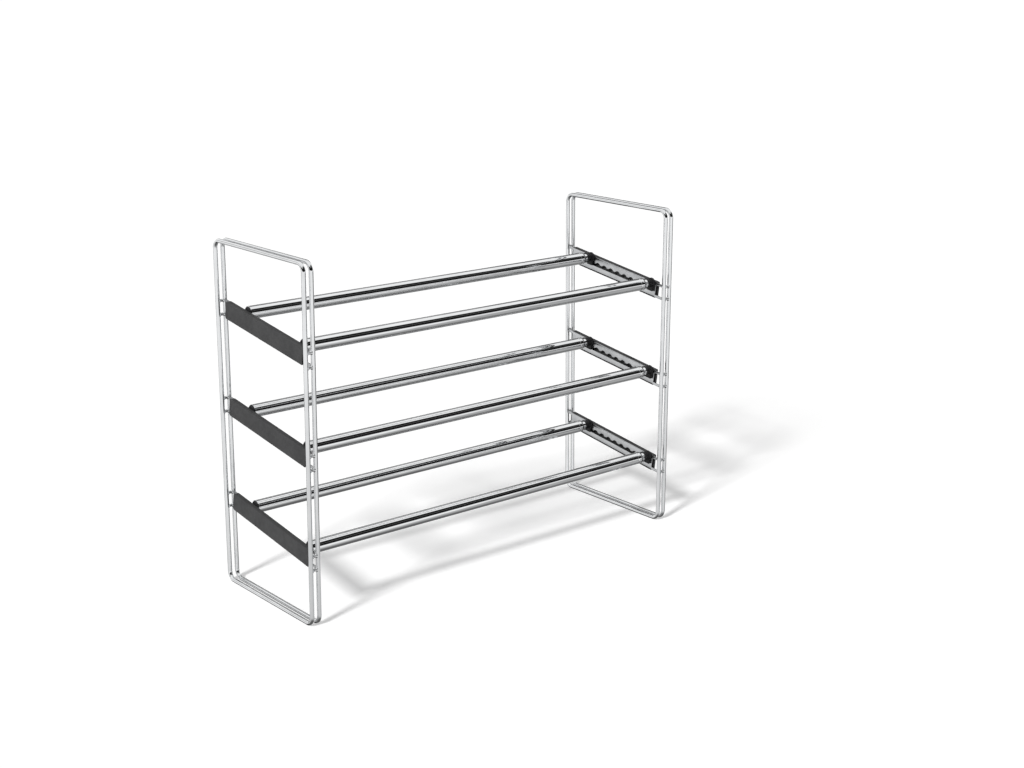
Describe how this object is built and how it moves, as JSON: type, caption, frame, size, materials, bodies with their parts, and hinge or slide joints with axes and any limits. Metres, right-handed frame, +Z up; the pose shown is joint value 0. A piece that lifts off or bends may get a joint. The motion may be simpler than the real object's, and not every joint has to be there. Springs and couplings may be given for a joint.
{
  "type": "extendable shoe rack",
  "caption": "Pull out shoe rack: two chromed wire end frames joined by telescopic tubes on sloping tiers, whose plugs sit in slotted rails with plastic covers.",
  "frame": {"origin": "on the floor under the middle of the closed rack", "axes": "+X along the rack, from the fixed left frame to the frame that pulls out; -Y towards the front, to which the tiers slope down; +Z up"},
  "size_m": [0.638, 0.221, 0.48],
  "materials": {
    "chrome_wire": "bright chrome plate on steel wire",
    "chrome_tube": "bright chrome plate on steel tube",
    "rail_steel": "chromed sheet steel, a little duller than the wire",
    "cover_plastic": "fine matt dark grey",
    "plug_plastic": "black, slightly satin"
  },
  "bodies": {
    "left_frame": {"left_outer_loop": "chrome_wire", "left_inner_loop": "chrome_wire", "left_link_wires": "chrome_wire", "left_bottom_rail": "rail_steel", "left_bottom_rail_cover": "cover_plastic", "left_middle_rail": "rail_steel", "left_middle_rail_cover": "cover_plastic", "left_top_rail": "rail_steel", "left_top_rail_cover": "cover_plastic"},
    "right_frame": {"right_outer_loop": "chrome_wire", "right_inner_loop": "chrome_wire", "right_link_wires": "chrome_wire", "right_bottom_rail": "rail_steel", "right_bottom_rail_cover": "cover_plastic", "right_middle_rail": "rail_steel", "right_middle_rail_cover": "cover_plastic", "right_top_rail": "rail_steel", "right_top_rail_cover": "cover_plastic"},
    "bottom_front_outer_rod": {"bottom_front_outer_tube": "chrome_tube", "bottom_front_outer_plug": "plug_plastic", "bottom_front_slide_bush": "plug_plastic"},
    "bottom_front_inner_rod": {"bottom_front_inner_tube": "chrome_tube", "bottom_front_inner_plug": "plug_plastic", "bottom_front_tube_guide": "plug_plastic"},
    "bottom_rear_outer_rod": {"bottom_rear_outer_tube": "chrome_tube", "bottom_rear_outer_plug": "plug_plastic", "bottom_rear_slide_bush": "plug_plastic"},
    "bottom_rear_inner_rod": {"bottom_rear_inner_tube": "chrome_tube", "bottom_rear_inner_plug": "plug_plastic", "bottom_rear_tube_guide": "plug_plastic"},
    "middle_front_outer_rod": {"middle_front_outer_tube": "chrome_tube", "middle_front_outer_plug": "plug_plastic", "middle_front_slide_bush": "plug_plastic"},
    "middle_front_inner_rod": {"middle_front_inner_tube": "chrome_tube", "middle_front_inner_plug": "plug_plastic", "middle_front_tube_guide": "plug_plastic"},
    "middle_rear_outer_rod": {"middle_rear_outer_tube": "chrome_tube", "middle_rear_outer_plug": "plug_plastic", "middle_rear_slide_bush": "plug_plastic"},
    "middle_rear_inner_rod": {"middle_rear_inner_tube": "chrome_tube", "middle_rear_inner_plug": "plug_plastic", "middle_rear_tube_guide": "plug_plastic"},
    "top_front_outer_rod": {"top_front_outer_tube": "chrome_tube", "top_front_outer_plug": "plug_plastic", "top_front_slide_bush": "plug_plastic"},
    "top_front_inner_rod": {"top_front_inner_tube": "chrome_tube", "top_front_inner_plug": "plug_plastic", "top_front_tube_guide": "plug_plastic"},
    "top_rear_outer_rod": {"top_rear_outer_tube": "chrome_tube", "top_rear_outer_plug": "plug_plastic", "top_rear_slide_bush": "plug_plastic"},
    "top_rear_inner_rod": {"top_rear_inner_tube": "chrome_tube", "top_rear_inner_plug": "plug_plastic", "top_rear_tube_guide": "plug_plastic"}
  },
  "joints": [
    {"name": "pull_out", "type": "slide", "parent": "left_frame", "child": "right_frame", "axis": [1, 0, 0], "range_m": [0, 0.515]},
    {"name": "bottom_front_notch_slide", "type": "slide", "parent": "left_frame", "child": "bottom_front_outer_rod", "axis": [0, 0.99, 0.1409], "range_m": [0, 0.0447]},
    {"name": "bottom_front_inner_notch_slide", "type": "slide", "parent": "right_frame", "child": "bottom_front_inner_rod", "axis": [0, 0.99, 0.1409], "range_m": [0, 0.0447]},
    {"name": "bottom_rear_notch_slide", "type": "slide", "parent": "left_frame", "child": "bottom_rear_outer_rod", "axis": [0, -0.99, -0.1409], "range_m": [0, 0.0447]},
    {"name": "bottom_rear_inner_notch_slide", "type": "slide", "parent": "right_frame", "child": "bottom_rear_inner_rod", "axis": [0, -0.99, -0.1409], "range_m": [0, 0.0447]},
    {"name": "middle_front_notch_slide", "type": "slide", "parent": "left_frame", "child": "middle_front_outer_rod", "axis": [0, 0.99, 0.1409], "range_m": [0, 0.0447]},
    {"name": "middle_front_inner_notch_slide", "type": "slide", "parent": "right_frame", "child": "middle_front_inner_rod", "axis": [0, 0.99, 0.1409], "range_m": [0, 0.0447]},
    {"name": "middle_rear_notch_slide", "type": "slide", "parent": "left_frame", "child": "middle_rear_outer_rod", "axis": [0, -0.99, -0.1409], "range_m": [0, 0.0447]},
    {"name": "middle_rear_inner_notch_slide", "type": "slide", "parent": "right_frame", "child": "middle_rear_inner_rod", "axis": [0, -0.99, -0.1409], "range_m": [0, 0.0447]},
    {"name": "top_front_notch_slide", "type": "slide", "parent": "left_frame", "child": "top_front_outer_rod", "axis": [0, 0.99, 0.1409], "range_m": [0, 0.0447]},
    {"name": "top_front_inner_notch_slide", "type": "slide", "parent": "right_frame", "child": "top_front_inner_rod", "axis": [0, 0.99, 0.1409], "range_m": [0, 0.0447]},
    {"name": "top_rear_notch_slide", "type": "slide", "parent": "left_frame", "child": "top_rear_outer_rod", "axis": [0, -0.99, -0.1409], "range_m": [0, 0.0447]},
    {"name": "top_rear_inner_notch_slide", "type": "slide", "parent": "right_frame", "child": "top_rear_inner_rod", "axis": [0, -0.99, -0.1409], "range_m": [0, 0.0447]}
  ],
  "couplings": [
    {"joint": "bottom_front_inner_notch_slide", "follows": "bottom_front_notch_slide", "ratio": 1},
    {"joint": "bottom_rear_inner_notch_slide", "follows": "bottom_rear_notch_slide", "ratio": 1},
    {"joint": "middle_front_inner_notch_slide", "follows": "middle_front_notch_slide", "ratio": 1},
    {"joint": "middle_rear_inner_notch_slide", "follows": "middle_rear_notch_slide", "ratio": 1},
    {"joint": "top_front_inner_notch_slide", "follows": "top_front_notch_slide", "ratio": 1},
    {"joint": "top_rear_inner_notch_slide", "follows": "top_rear_notch_slide", "ratio": 1}
  ]
}
